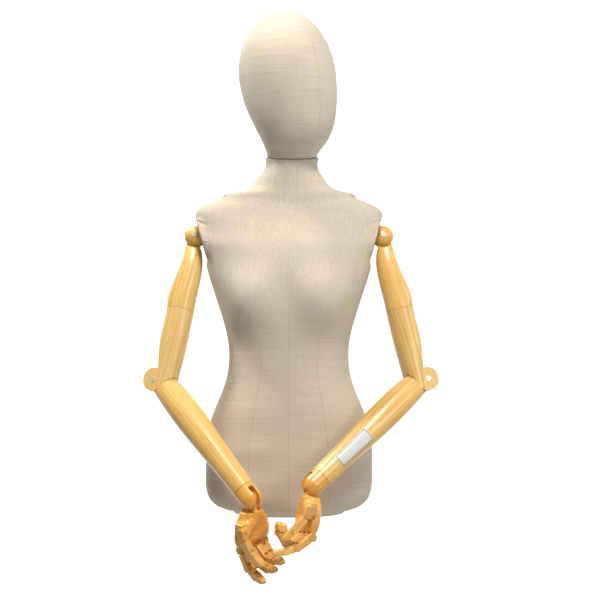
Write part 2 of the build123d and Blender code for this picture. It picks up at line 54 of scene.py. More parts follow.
# ------------------------------------------------------------ camera
camera = bpy.data.objects.new("camera", bpy.data.cameras.new("camera"))
camera.location = (0.021, -2.2, 0.400)
camera.rotation_euler = (math.radians(90), 0, 0)
camera.data.sensor_width = 36
camera.data.lens = 69.5
scene.collection.objects.link(camera)
scene.camera = camera


# ------------------------------------------------------------ light and floor
def area_light(name, place, aim, size, power, colour=(1, 1, 1)):
    lamp = bpy.data.lights.new(name, "AREA")
    lamp.shape = "SQUARE"
    lamp.size = size
    lamp.energy = power
    lamp.color = colour
    obj = bpy.data.objects.new(name, lamp)
    obj.location = place
    obj.rotation_euler = (Vector(aim) - Vector(place)).to_track_quat("-Z", "Y").to_euler()
    scene.collection.objects.link(obj)


AIM = (0.0, 0.0, 0.42)    # middle of the torso
area_light("key_left", (-1.48, 0.20, 3.02), AIM, 0.40, 84, (1.0, 0.985, 0.95))
area_light("fill_front", (2.05, -2.12, 0.94), AIM, 1.0, 20, (1.0, 0.985, 0.96))
area_light("fill_right", (2.82, 0.10, 1.45), AIM, 0.8, 12)
area_light("top_front", (0.27, -1.91, 2.72), AIM, 0.6, 78, (1.0, 0.985, 0.96))

world = bpy.data.worlds.new("studio")
scene.world = world
world.use_nodes = True
world.node_tree.nodes["Background"].inputs["Color"].default_value = (1.0, 0.995, 0.985, 1)
world.node_tree.nodes["Background"].inputs["Strength"].default_value = 0.13
scene.view_settings.view_transform = "Standard"


class Nodes:
    """A material's node tree, with one short call for each node."""

    def __init__(self, name):
        self.material = bpy.data.materials.new(name)
        self.material.use_nodes = True
        self.tree = self.material.node_tree
        self.tree.nodes.clear()
        self.output = self.tree.nodes.new("ShaderNodeOutputMaterial")

    def link(self, value, socket):
        if isinstance(value, bpy.types.NodeSocket):
            self.tree.links.new(value, socket)
        elif value is not None:
            if hasattr(socket.default_value, "__len__") and not hasattr(value, "__len__"):
                value = [value] * len(socket.default_value)
            if hasattr(value, "__len__") and len(value) == 3 and len(socket.default_value) == 4:
                value = (*value, 1.0)
            socket.default_value = value

    def node(self, kind, **settings):
        made = self.tree.nodes.new("ShaderNode" + kind)
        for key, value in settings.items():
            setattr(made, key, value)
        return made

    def math(self, operation, a, b=None, c=None):
        made = self.node("Math", operation=operation)
        for value, socket in zip((a, b, c), made.inputs):
            self.link(value, socket)
        return made.outputs[0]

    def vector(self, operation, a, b=None):
        made = self.node("VectorMath", operation=operation)
        self.link(a, made.inputs[0])
        self.link(b, made.inputs[1])
        return made.outputs["Value" if operation in ("DOT_PRODUCT", "LENGTH") else "Vector"]

    def coordinates(self, output="Object"):
        return self.node("TexCoord").outputs[output]

    def attribute(self, name, output="Fac"):
        return self.node("Attribute", attribute_name=name).outputs[output]

    def mapping(self, vector, location=(0, 0, 0), rotation=(0, 0, 0), scale=(1, 1, 1)):
        made = self.node("Mapping")
        self.link(vector, made.inputs["Vector"])
        made.inputs["Location"].default_value = location
        made.inputs["Rotation"].default_value = rotation
        made.inputs["Scale"].default_value = scale
        return made.outputs[0]

    def noise(self, vector, scale, detail=3.0, rough=0.5, distortion=0.0):
        made = self.node("TexNoise")
        self.link(vector, made.inputs["Vector"])
        made.inputs["Scale"].default_value = scale
        made.inputs["Detail"].default_value = detail
        made.inputs["Roughness"].default_value = rough
        made.inputs["Distortion"].default_value = distortion
        return made.outputs["Fac"]

    def span(self, value, low, high, to_low=0.0, to_high=1.0, smooth=False):
        made = self.node("MapRange", interpolation_type="SMOOTHSTEP" if smooth else "LINEAR")
        for socket, given in zip(made.inputs[:5], (value, low, high, to_low, to_high)):
            self.link(given, socket)
        return made.outputs[0]

    def ramp(self, value, stops):
        made = self.node("ValToRGB")
        self.link(value, made.inputs["Fac"])
        while len(made.color_ramp.elements) < len(stops):
            made.color_ramp.elements.new(0.5)
        for element, (place, colour) in zip(made.color_ramp.elements, stops):
            element.position = place
            element.color = (*colour, 1)
        return made.outputs["Color"]

    def mix(self, factor, a, b, blend="MIX"):
        made = self.node("Mix", data_type="RGBA", blend_type=blend)
        self.link(factor, made.inputs[0])
        self.link(a, made.inputs[6])
        self.link(b, made.inputs[7])
        return made.outputs[2]

    def bump(self, height, distance, strength=1.0, normal=None):
        made = self.node("Bump")
        made.inputs["Strength"].default_value = strength
        made.inputs["Distance"].default_value = distance
        self.link(height, made.inputs["Height"])
        self.link(normal, made.inputs["Normal"])
        return made.outputs[0]

    def principled(self, **inputs):
        made = self.node("BsdfPrincipled")
        for name, value in inputs.items():
            self.link(value, made.inputs[name.replace("_", " ")])
        self.link(made.outputs[0], self.output.inputs["Surface"])
        return self.material


def backdrop():
    """Pale floor that curves up into a wall behind the object."""
    floor, bend, wall, half = -0.95, 1.2, 3.2, 6.0
    profile = [(-9.0, floor), (-4.0, floor), (0.0, floor), (wall - bend, floor)]
    for i in range(1, 13):
        turn = math.radians(90 * i / 12)
        profile.append((wall - bend + bend * math.sin(turn), floor + bend * (1 - math.cos(turn))))
    profile.append((wall, 4.5))
    mesh = bpy.data.meshes.new("floor")
    points = [(side * half, y, z) for y, z in profile for side in (-1, 1)]
    faces = [(2 * i, 2 * i + 1, 2 * i + 3, 2 * i + 2) for i in range(len(profile) - 1)]
    mesh.from_pydata(points, [], faces)
    mesh.polygons.foreach_set("use_smooth", [True] * len(faces))
    obj = bpy.data.objects.new("floor", mesh)
    scene.collection.objects.link(obj)
    t = Nodes("pale_floor")
    place = t.node("SeparateXYZ")
    t.link(t.coordinates(), place.inputs[0])
    grain = t.noise(t.coordinates(), 3.0, 4)
    colour = t.ramp(grain, [(0.3, (0.52, 0.52, 0.515)), (0.7, (0.58, 0.58, 0.575))])
    glow = t.span(place.outputs["Y"], 1.0, 2.2, 0.0, 0.95, smooth=True)
    mesh.materials.append(t.principled(Base_Color=colour, Roughness=0.7,
                                       Emission_Color=(1.0, 1.0, 1.0), Emission_Strength=glow))


backdrop()


# ------------------------------------------------------------ linen
WEAVE = 0.00085           # thread pitch


def linen(name):
    """Unbleached plain-weave linen.

    It reads the cloth UVs, in metres, and the point values "seam", "seam_depth" and "rim".
    Ribs run up the cloth and show on the upper torso; courses run across and show lower down.
    """
    t = Nodes(name)
    cloth = t.node("UVMap", uv_map="cloth").outputs[0]
    split = t.node("SeparateXYZ")
    t.link(cloth, split.inputs[0])
    sway = t.math("MULTIPLY", t.math("SUBTRACT", t.noise(cloth, 22, 2), 0.5), 0.004)
    across = t.math("DIVIDE", t.math("ADD", split.outputs["X"], sway), WEAVE)
    up = t.math("DIVIDE", t.math("ADD", split.outputs["Y"], sway), WEAVE)

    def thread(a, b, turn):
        """Height of one set of threads: round in section, and over and under the other set."""
        round_section = t.math("ABSOLUTE", t.math("SINE", t.math("MULTIPLY", a, math.pi)))
        step = t.math("ADD", t.math("FLOOR", a), float(turn))
        wave = t.math("COSINE", t.math("MULTIPLY", t.math("ADD", b, step), math.pi))
        return t.math("MULTIPLY", round_section, t.math("MULTIPLY_ADD", wave, 0.5, 0.5))

    weave = t.math("MAXIMUM", thread(across, up, 0), thread(up, across, 1))
    warp = t.noise(t.mapping(cloth, scale=(620, 14, 1)), 1.0, 4, 0.62)
    weft = t.noise(t.mapping(cloth, location=(3, 5, 0), scale=(11, 560, 1)), 1.0, 4, 0.62)
    warp_slub = t.span(warp, 0.56, 0.74, smooth=True)
    place = t.coordinates()
    ribs = t.noise(t.mapping(place, location=(1, 8, 0), scale=(290, 290, 12)), 1.0, 5, 0.7)
    courses = t.noise(t.mapping(place, location=(6, 2, 0), scale=(11, 11, 330)), 1.0, 5, 0.7)
    upper = t.span(split.outputs["Y"], 0.36, 0.50, 0.25, 1.0, smooth=True)
    lower = t.math("SUBTRACT", 1.15, upper)
    weft_slub = t.span(weft, 0.58, 0.76, smooth=True)
    thin = t.span(t.noise(t.mapping(cloth, location=(9, 1, 0), scale=(480, 20, 1)), 1.0, 3, 0.6),
                  0.60, 0.74, smooth=True)
    broad = t.noise(t.coordinates(), 5.0, 4, 0.55)
    cloudy = t.noise(t.coordinates(), 26.0, 3, 0.6)

    seam = t.math("ABSOLUTE", t.attribute("seam"))
    depth = t.attribute("seam_depth")
    rim = t.math("ABSOLUTE", t.attribute("rim"))
    pucker_noise = t.noise(t.mapping(cloth, scale=(35, 150, 1)), 1.0, 2, 0.5)
    groove = t.math("MULTIPLY", t.span(seam, 0.0003, 0.0013, 1.0, 0.0, smooth=True), depth)
    allowance = t.math("MULTIPLY", t.span(seam, 0.006, 0.0095, 1.0, 0.0, smooth=True), depth)
    pucker = t.math("MULTIPLY", t.math("MULTIPLY", t.span(seam, 0.001, 0.011, 1.0, 0.0, smooth=True),
                                       pucker_noise), depth)
    rim_groove = t.span(rim, 0.0003, 0.0014, 1.0, 0.0, smooth=True)

    colour = t.ramp(broad, [(0.30, (0.600, 0.515, 0.405)), (0.50, (0.640, 0.556, 0.446)),
                            (0.72, (0.675, 0.597, 0.488))])
    colour = t.mix(t.math("MULTIPLY", t.span(cloudy, 0.45, 0.75), 0.16), colour, (0.58, 0.475, 0.35))
    coarse = t.math("MULTIPLY_ADD", t.math("SUBTRACT", ribs, 0.5), upper,
                    t.math("MULTIPLY", t.math("SUBTRACT", courses, 0.5), lower))
    colour = t.mix(t.span(coarse, -0.02, -0.22, 0.0, 0.40), colour, (0.40, 0.325, 0.24))
    colour = t.mix(t.span(coarse, 0.02, 0.22, 0.0, 0.36), colour, (0.82, 0.75, 0.64))
    colour = t.mix(t.math("MULTIPLY", warp_slub, 0.34), colour, (0.44, 0.355, 0.26))
    colour = t.mix(t.math("MULTIPLY", weft_slub, 0.26), colour, (0.47, 0.385, 0.29))
    colour = t.mix(t.math("MULTIPLY", thin, 0.30), colour, (0.80, 0.735, 0.63))
    # painted shade: the weave is painted darker where its threads are low, in the hollows between them
    hollow = t.span(weave, 0.15, 0.55, 0.26, 0.0)
    colour = t.mix(hollow, colour, (0.33, 0.265, 0.19))
    # painted shade: the seam grooves are painted darker, on top of their bump
    colour = t.mix(t.math("MULTIPLY", groove, 0.30), colour, (0.20, 0.155, 0.11))
    # painted shadow: a dark line along each armhole edge, as beneath the shoulder's rim
    colour = t.mix(t.math("MULTIPLY", rim_groove, 0.6), colour, (0.20, 0.155, 0.11))

    relief = t.math("MULTIPLY_ADD", warp_slub, 0.35, t.math("MULTIPLY_ADD", weft_slub, 0.3, weave))
    fine = t.bump(relief, 0.00016, 0.7)
    form = t.math("MULTIPLY_ADD", groove, -1.0, t.math("MULTIPLY_ADD", allowance, 0.32,
                  t.math("MULTIPLY_ADD", pucker, 0.4, t.math("MULTIPLY", rim_groove, -0.9))))
    yarn = t.bump(coarse, 0.0007, 0.8, fine)
    normal = t.bump(form, 0.0008, 0.8, yarn)
    rough = t.span(weave, 0.0, 1.0, 0.96, 0.80)
    return t.principled(Base_Color=colour, Roughness=rough, Normal=normal, Specular_IOR_Level=0.22,
                        Sheen_Weight=0.16, Sheen_Roughness=0.45, Sheen_Tint=(1.0, 0.95, 0.86))


def outer_surface(node):
    mesh = nodes[node].data
    return BVHTree.FromPolygons([v.co[:] for v in mesh.vertices], [p.vertices[:] for p in mesh.polygons])


def skin_grid(name, rows, columns, shoot):
    """Quad grid with one point per (row, column), closed round, with cloth UVs in metres."""
    points = [[shoot(row, column) for column in columns] for row in rows]
    mesh = bpy.data.meshes.new(name)
    count = len(columns)
    flat = [p for line in points for p in line]
    faces, uvs = [], []
    run = [[0.0] * (count + 1) for _ in rows]
    rise = [[0.0] * (count + 1) for _ in rows]
    for r, line in enumerate(points):
        for c in range(count):
            run[r][c + 1] = run[r][c] + (line[(c + 1) % count] - line[c]).length
        middle = run[r][count // 2]
        run[r] = [x - middle for x in run[r]]
        if r:
            for c in range(count + 1):
                rise[r][c] = rise[r - 1][c] + (line[c % count] - points[r - 1][c % count]).length
    for r in range(len(rows) - 1):
        for c in range(count):
            d = (c + 1) % count
            faces.append((r * count + c, r * count + d, (r + 1) * count + d, (r + 1) * count + c))
            uvs += [(run[r][c], rise[r][c]), (run[r][c + 1], rise[r][c + 1]),
                    (run[r + 1][c + 1], rise[r + 1][c + 1]), (run[r + 1][c], rise[r + 1][c])]
    mesh.from_pydata([p[:] for p in flat], [], faces)
    layer = mesh.uv_layers.new(name="cloth")
    layer.data.foreach_set("uv", [x for uv in uvs for x in uv])
    mesh.polygons.foreach_set("use_smooth", [True] * len(faces))
    obj = bpy.data.objects.new(name, mesh)
    scene.collection.objects.link(obj)
    return obj


def settled(obj):
    """Replaces the object's mesh with the one its modifiers make."""
    bpy.context.view_layer.update()
    made = bpy.data.meshes.new_from_object(obj.evaluated_get(bpy.context.evaluated_depsgraph_get()))
    obj.modifiers.clear()
    obj.data = made


def thicken(obj, thickness):
    solid = obj.modifiers.new("thickness", "SOLIDIFY")
    solid.thickness = thickness
    solid.offset = -1
    solid.use_rim = True
    settled(obj)


def float_attribute(mesh, name, values):
    layer = mesh.attributes.new(name, "FLOAT", "POINT")
    layer.data.foreach_set("value", values)


def smoothstep(x, low, high):
    x = min(max((x - low) / (high - low), 0.0), 1.0)
    return x * x * (3 - 2 * x)


LINEN_T = 0.0012
NECK = Vector((0.006, -0.007, 0.669))
NECK_TILT = math.tan(math.radians(10))
SHOULDER_X, SHOULDER_Y, SHOULDER_Z = 0.178, 0.004, 0.5205
ARMHOLE_X, ARMHOLE_Z = 0.1635, 0.514
ARMHOLE_LEAN = math.radians(15)
ARMHOLE_DEPTH, ARMHOLE_HEIGHT = 0.046, 0.050
CUP_R = 0.0222


def armhole_local(point, side):
    """Place relative to the flat armhole face: (to the back, up the face, out of the torso)."""
    x, z = side * point.x - ARMHOLE_X, point.z - ARMHOLE_Z
    out = x * math.cos(ARMHOLE_LEAN) - z * math.sin(ARMHOLE_LEAN)
    up = x * math.sin(ARMHOLE_LEAN) + z * math.cos(ARMHOLE_LEAN)
    return point.y, up, out


def armhole_world(y, up, out, side):
    x = out * math.cos(ARMHOLE_LEAN) + up * math.sin(ARMHOLE_LEAN)
    z = up * math.cos(ARMHOLE_LEAN) - out * math.sin(ARMHOLE_LEAN)
    return Vector((side * (ARMHOLE_X + x), y, ARMHOLE_Z + z))


def on_armhole_plane(start, ray, side):
    """Where a ray crosses the flat armhole face's plane."""
    normal = Vector((side * math.cos(ARMHOLE_LEAN), 0, -math.sin(ARMHOLE_LEAN)))
    speed = ray.dot(normal)
    if speed < 0.2:
        return None
    return start + ray * ((Vector((side * ARMHOLE_X, 0, ARMHOLE_Z)) - start).dot(normal) / speed)


def oval_distance(y, up):
    """Signed distance inside the armhole's oval edge, close to exact near the edge."""
    size = math.hypot(y / ARMHOLE_DEPTH, up / ARMHOLE_HEIGHT)
    slope = math.hypot(y / ARMHOLE_DEPTH ** 2, up / ARMHOLE_HEIGHT ** 2) / max(size, 1e-6)
    return (1 - size) / max(slope, 1e-6)


def torso_levels():
    """Height of each row's centre and the slope at which it looks out, raised over the shoulders."""
    levels = [0.0004, 0.0012, 0.0025, 0.004, 0.006, 0.0085, 0.0115, 0.015, 0.019, 0.0235, 0.0285]
    while levels[-1] < 0.533:
        z = levels[-1]
        levels.append(z + (0.0026 if z > 0.460 else 0.0052))
    rows = [(z, 0.0) for z in levels]
    first, bend, last = levels[-1], 0.600, NECK.z - 0.0007
    for k in range(1, 45):
        rows.append((first + (bend - first) * k / 44, 0.7 * smoothstep(k / 44, 0.0, 1.0)))
    for k in range(1, 19):
        rows.append((bend + (last - bend) * k / 18, 0.7 * (1 - k / 18)))
    return rows


def torso_angles():
    """Closer together at the sides, where the armhole faces are."""
    angles, turn = [], -math.pi
    while turn < math.pi - 0.010:
        angles.append(turn)
        side = min(abs(turn), abs(abs(turn) - math.pi))
        turn += math.radians(1.0 if side < math.radians(21) else 2.2)
    return [-math.pi / 2 + a + math.pi for a in angles]


def torso_cover():
    skin = outer_surface("torso_cover")
    levels = torso_levels()

    def shoot(row, turn):
        level, slope = row
        if level < 0:                       # the hem, turned under the base
            base = shoot(levels[0], turn)
            inward = Vector((base.x, base.y, 0)).normalized()
            place = base - inward * max(0.0, -level - 0.002)
            drop = 0.0013 * min(1.0, -level / 0.0015)
            return Vector((place.x, place.y, base.z - drop - 0.0004))
        lean = smoothstep(level, 0.575, NECK.z) * NECK_TILT
        centre = Vector((NECK.x * smoothstep(level, 0.59, NECK.z),
                         NECK.y * smoothstep(level, 0.55, NECK.z), level))
        out = Vector((math.cos(turn), math.sin(turn), lean * math.sin(turn) + slope))
        hit = None
        for nudge in (0.0, 0.0004, 0.0009, 0.0016):
            step = Vector((0, 0, nudge if level < 0.3 else -nudge))
            hit = hit or skin.ray_cast(centre + out * 0.6 + step, -out)[0]
        side = 1 if out.x > 0 else -1
        face = on_armhole_plane(centre, out, side)
        if face is not None:
            y, up, _out = armhole_local(face, side)
            cup_up = armhole_local(Vector((side * SHOULDER_X, SHOULDER_Y, SHOULDER_Z)), side)[1]
            if math.hypot(y - SHOULDER_Y, up - cup_up) < CUP_R + 0.004:
                return face
        return hit

    hem = [(z, 0.0) for z in (-0.016, -0.012, -0.007, -0.003, -0.0012)]
    cover = skin_grid("linen_torso_cover", hem + levels, torso_angles(), shoot)
    sharpen_armholes(cover)
    relax(cover, 14)
    thicken(cover, LINEN_T)
    for side in (-1, 1):
        cup = cylinder_cutter(side)
        cut = cover.modifiers.new("cup", "BOOLEAN")
        cut.operation = "DIFFERENCE"
        cut.object = cup
        cut.solver = "EXACT"
        settled(cover)
        bpy.data.objects.remove(cup)
    return cover


def on_edge(point):
    """True close to an armhole's oval edge, which smoothing leaves alone."""
    side = 1 if point.x > 0 else -1
    y, up, out = armhole_local(point, side)
    return abs(out) < 0.0006 and abs(oval_distance(y, up)) < 0.0006 and abs(point.x) > 0.12


def sharpen_armholes(obj):
    """Moves the points nearest to an armhole's oval edge onto it, and cuts the faces along it."""
    mesh = obj.data
    moved = {}
    for edge in mesh.edges:
        ends = [mesh.vertices[i].co for i in edge.vertices]
        if min(abs(p.x) for p in ends) < 0.12 or not 0.44 < ends[0].z < 0.60:
            continue
        side = 1 if ends[0].x > 0 else -1
        places = [armhole_local(p, side) for p in ends]
        inside = [oval_distance(y, up) > 0 and abs(out) < 0.0007 for y, up, out in places]
        if inside[0] == inside[1]:
            continue
        gaps = [abs(oval_distance(y, up)) + abs(out) for y, up, out in places]
        pick = 0 if gaps[0] < gaps[1] else 1
        index = edge.vertices[pick]
        if index not in moved or gaps[pick] < moved[index][0]:
            moved[index] = (gaps[pick], side, places[pick])
    for index, (_, side, (y, up, _out)) in moved.items():
        size = math.hypot(y / ARMHOLE_DEPTH, up / ARMHOLE_HEIGHT)
        mesh.vertices[index].co = armhole_world(y / size, up / size, 0.0, side)
    bm = bmesh.new()
    bm.from_mesh(mesh)
    bm.verts.ensure_lookup_table()
    for face in list(bm.faces):
        corners = [v for v in face.verts if v.index in moved]
        if len(corners) == 2 and bm.edges.get(corners) is None:
            bmesh.utils.face_split(face, corners[0], corners[1])
    bm.to_mesh(mesh)
    bm.free()


def relax(obj, times):
    """Evens out the facets of the frame's mesh, away from the edges, and sinks no point far into it."""
    bm = bmesh.new()
    bm.from_mesh(obj.data)
    start = [v.co.copy() for v in bm.verts]
    loose = [v for v in bm.verts if not v.is_boundary and not on_edge(v.co) and v.co.z > 0.003]
    for _ in range(times):
        bmesh.ops.smooth_vert(bm, verts=loose, factor=0.4, use_axis_x=True, use_axis_y=True,
                              use_axis_z=True)
    bm.normal_update()
    for v, before in zip(bm.verts, start):
        sunk = (before - v.co).dot(v.normal) - 0.0004 + 0.0013 * max(v.normal.z, 0.0)
        if sunk > 0:
            v.co += v.normal * sunk
    bm.to_mesh(obj.data)
    bm.free()


def cylinder_cutter(side):
    bm = bmesh.new()
    axis = Vector((side * math.cos(ARMHOLE_LEAN), 0, -math.sin(ARMHOLE_LEAN)))
    turn = axis.to_track_quat("Z", "Y").to_matrix().to_4x4()
    turn.translation = Vector((side * SHOULDER_X, SHOULDER_Y, SHOULDER_Z)) - axis * 0.012
    bmesh.ops.create_cone(bm, cap_ends=True, segments=96, radius1=CUP_R, radius2=CUP_R, depth=0.03,
                          matrix=turn)
    mesh = bpy.data.meshes.new("cup_cutter")
    bm.to_mesh(mesh)
    bm.free()
    obj = bpy.data.objects.new("cup_cutter", mesh)
    scene.collection.objects.link(obj)
    return obj


PRINCESS = 0.081          # front princess seam's place over the bust and belly
PRINCESS_BACK = 0.072


def seam_turns(z):
    """Where the seams lie at one height, as angles, from centre back round by the right to the left."""
    side = smoothstep(z, 0.0, 0.05)
    narrow = 1 - 0.16 * math.exp(-((z - 0.29) / 0.10) ** 2) + 0.10 * smoothstep(z, 0.40, 0.56)
    front = math.atan2(0.100, PRINCESS * narrow)
    back = math.atan2(0.085, PRINCESS_BACK * narrow)
    if z > 0.57:
        close = smoothstep(z, 0.57, 0.66)
        front = front * (1 - close) + math.radians(52) * close
        back = back * (1 - close) + math.radians(52) * close
    drift = math.radians(2) * side
    return [-math.pi / 2, -front, -drift, back, math.pi / 2, math.pi - back, math.pi + drift,
            math.pi + front, 3 * math.pi / 2]


def seam_distance(point):
    """Signed distance to the nearest seam, positive and negative on alternate panels."""
    x0 = NECK.x * smoothstep(point.z, 0.59, NECK.z)
    y0 = NECK.y * smoothstep(point.z, 0.55, NECK.z)
    turn = math.atan2(point.y - y0, point.x - x0)
    if turn < -math.pi / 2:
        turn += 2 * math.pi
    radius = math.hypot(point.x - x0, point.y - y0)
    turns = seam_turns(point.z)
    for k in range(len(turns) - 1):
        if turns[k] <= turn <= turns[k + 1]:
            gap = min(turn - turns[k], turns[k + 1] - turn) * radius
            return gap if k % 2 else -gap
    return radius * 0.2


def seam_strength(point):
    """Seams show less over the chest and belly, where the cloth is stretched smooth."""
    front = smoothstep(-point.y, -0.02, 0.04)
    chest = smoothstep(point.z, 0.30, 0.44)
    neck = smoothstep(point.z, 0.60, 0.63)
    return (1.0 - front * (0.45 + 0.47 * chest)) * (1.0 - 0.85 * neck)


def rim_distance(point):
    """Signed distance to the armhole's edge, positive on its flat face."""
    side = 1 if point.x > 0 else -1
    y, up, out = armhole_local(point, side)
    inside = oval_distance(y, up)
    if abs(point.x) < 0.12 or inside < -0.02:
        return 0.05
    return inside if abs(out) < 0.0016 and inside > 0 else -math.hypot(min(out, 0.0), min(inside, 0.0))


torso = torso_cover()
mesh = torso.data
float_attribute(mesh, "seam", [seam_distance(v.co) for v in mesh.vertices])
float_attribute(mesh, "seam_depth", [seam_strength(v.co) for v in mesh.vertices])
float_attribute(mesh, "rim", [rim_distance(v.co) for v in mesh.vertices])
mesh.materials.clear()
mesh.materials.append(linen("linen_cloth"))
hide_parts("torso_cover")
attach(torso, "torso")


# ------------------------------------------------------------ head
HEAD_TILT = math.radians(10)
HEAD_TURN = math.radians(33)
HEAD_ROWS, HEAD_COLUMNS = 78, 128


def head_frame():
    """The head's own frame: origin at the centre of its base, Z up the neck, front -Y."""
    tilt = Matrix.Rotation(HEAD_TILT, 4, "X")
    spin = Matrix.Rotation(HEAD_TURN, 4, "Z")
    up = tilt @ Vector((0, 0, 1))
    return Matrix.Translation(NECK + up * 0.0005) @ tilt @ spin


def head_cover():
    skin = outer_surface("head_cover")
    to_world = head_frame()

    def shoot(share, turn):
        rise = math.radians(89.0) * max(0.0, (share - 0.30) / 0.70) ** 1.05
        start = Vector((0, -0.004 + 0.018 * min(share / 0.30, 1.0), 0.0003 + 0.150 * min(share / 0.30, 1.0)))
        out = Vector((math.cos(turn) * math.cos(rise), math.sin(turn) * math.cos(rise), math.sin(rise)))
        origin, ray = to_world @ start, to_world.to_3x3() @ out
        hit = skin.ray_cast(origin + ray * 0.5, -ray)[0]
        return hit if hit is not None else origin + ray * 0.05

    rows = [i / HEAD_ROWS for i in range(HEAD_ROWS + 1)]
    columns = [math.pi / 2 + 2 * math.pi * i / HEAD_COLUMNS for i in range(HEAD_COLUMNS)]
    cover = skin_grid("linen_head_cover", rows, columns, shoot)
    bm = bmesh.new()
    bm.from_mesh(cover.data)
    to_head = to_world.inverted()
    rim = [e for e in bm.edges if e.is_boundary and (to_head @ e.verts[0].co).z > 0.2]
    made = bmesh.ops.contextual_create(bm, geom=rim)
    bmesh.ops.poke(bm, faces=made["faces"])
    loose = [v for v in bm.verts if not v.is_boundary]
    for _ in range(2):
        bmesh.ops.smooth_vert(bm, verts=loose, factor=0.4, use_axis_x=True, use_axis_y=True,
                              use_axis_z=True)
    for face in bm.faces:
        face.smooth = True
    bm.to_mesh(cover.data)
    bm.free()
    thicken(cover, LINEN_T)
    return cover


head = head_cover()
mesh = head.data
to_head = head_frame().inverted()
local = [to_head @ v.co for v in mesh.vertices]
float_attribute(mesh, "seam", [p.x for p in local])
float_attribute(mesh, "seam_depth", [0.55 for p in local])
float_attribute(mesh, "rim", [0.05 for p in local])
mesh.materials.clear()
mesh.materials.append(bpy.data.materials["linen_cloth"])
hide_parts("head_cover")
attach(head, "head")


# ------------------------------------------------------------ lacquered beech
def long_axis(node):
    """A piece's long axis, pointing up, from its own mesh."""
    points = np.array([v.co for v in nodes[node].data.vertices], float)
    _, vectors = np.linalg.eigh(np.cov((points - points.mean(0)).T))
    axis = vectors[:, -1]
    return Vector(-axis if axis[2] < 0 else axis)


def beech(name, axis, draw):
    """Clear-lacquered beech with its grain along the given axis: arms paler, palms deeper."""
    t = Nodes("beech_" + name)
    turn = axis.rotation_difference(Vector((0, 0, 1)))
    where = t.mapping(t.coordinates(), rotation=turn.to_euler())
    where = t.vector("ADD", where, (draw.uniform(-3, 3), draw.uniform(-3, 3), draw.uniform(-3, 3)))
    streak = t.noise(t.mapping(where, scale=(330, 330, 6)), 1.0, 5, 0.6, 0.2)
    pores = t.noise(t.mapping(where, scale=(900, 900, 60)), 1.0, 2, 0.5)
    flecks = t.noise(t.mapping(where, location=(4, 2, 7), scale=(620, 620, 95)), 1.0, 2, 0.55)
    rings = t.node("TexWave", wave_type="BANDS", bands_direction="X", wave_profile="SIN")
    t.link(t.mapping(where, scale=(1, 1, 0.08)), rings.inputs["Vector"])
    rings.inputs["Scale"].default_value = draw.uniform(34, 52)
    rings.inputs["Distortion"].default_value = 5.0
    rings.inputs["Detail"].default_value = 2.5
    rings.inputs["Detail Scale"].default_value = 0.8
    broad = t.noise(where, 11.0, 3, 0.5)

    warm = draw.uniform(-1, 1)
    light = draw.uniform(0.94, 1.06)

    if name.endswith(("_arm", "fork", "forearm")):
        green, blue = 1.28, 1.85
    elif name.endswith(("palm", "wrist_block")):
        green, blue = 0.97, 0.72
    else:
        green, blue = 1.12, 1.30

    def tone(r, g, b):
        return (r * light, g * green * light * (1 - 0.03 * warm), b * blue * light * (1 - 0.10 * warm))

    tint = t.math("MULTIPLY_ADD", streak, 0.50, t.math("MULTIPLY_ADD", rings.outputs["Fac"], 0.10,
                  t.math("MULTIPLY", broad, 0.42)))
    colour = t.ramp(tint, [(0.32, tone(0.68, 0.300, 0.050)), (0.50, tone(0.79, 0.385, 0.080)),
                           (0.62, tone(0.84, 0.440, 0.106)), (0.78, tone(0.88, 0.505, 0.150))])
    dark = t.span(flecks, 0.66, 0.76, smooth=True)
    colour = t.mix(t.math("MULTIPLY", dark, 0.45), colour, (0.34, 0.150, 0.035))
    colour = t.mix(t.span(pores, 0.55, 0.85, 0.0, 0.22), colour, (0.42, 0.20, 0.05))
    facing = t.math("ABSOLUTE", t.vector("DOT_PRODUCT", t.coordinates("Normal"), axis[:]))
    end = t.span(facing, 0.86, 0.97, smooth=True)
    speckle = t.noise(where, 900, 2, 0.6)
    end_colour = t.ramp(speckle, [(0.35, (0.40, 0.19, 0.05)), (0.6, (0.60, 0.33, 0.11))])
    colour = t.mix(t.math("MULTIPLY", end, 0.75), colour, end_colour)

    soft = t.node("Bevel", samples=4)
    soft.inputs["Radius"].default_value = 0.0007
    sharp = t.node("NewGeometry").outputs["Normal"]
    edge = t.span(t.vector("DOT_PRODUCT", soft.outputs[0], sharp), 0.86, 0.995, 1.0, 0.0)
    worn = t.math("MULTIPLY", edge, t.span(t.noise(where, 160, 3), 0.42, 0.62))
    colour = t.mix(t.math("MULTIPLY", worn, 0.40), colour, (0.86, 0.60, 0.30))

    rough = t.math("MULTIPLY_ADD", streak, 0.16, t.math("MULTIPLY_ADD", end, 0.2, 0.27))
    height = t.math("MULTIPLY_ADD", pores, -0.5, t.math("MULTIPLY", streak, 0.4))
    normal = t.bump(height, 0.00012, 0.45, soft.outputs[0])
    return t.principled(Base_Color=colour, Roughness=rough, Normal=normal, Specular_IOR_Level=0.5,
                        Coat_Weight=0.28, Coat_Roughness=0.18, Coat_IOR=1.5)


def steel(name, base, rough_low, rough_high):
    t = Nodes(name)
    where = t.coordinates()
    scratch = t.noise(t.mapping(where, scale=(1200, 1200, 90)), 1.0, 3, 0.6)
    cloud = t.noise(where, 240, 3)
    colour = t.mix(t.span(cloud, 0.35, 0.7), tuple(0.86 * c for c in base), base)
    rough = t.span(scratch, 0.3, 0.7, rough_low, rough_high)
    normal = t.bump(scratch, 0.00003, 0.5)
    return t.principled(Base_Color=colour, Roughness=rough, Normal=normal, Metallic=1.0)


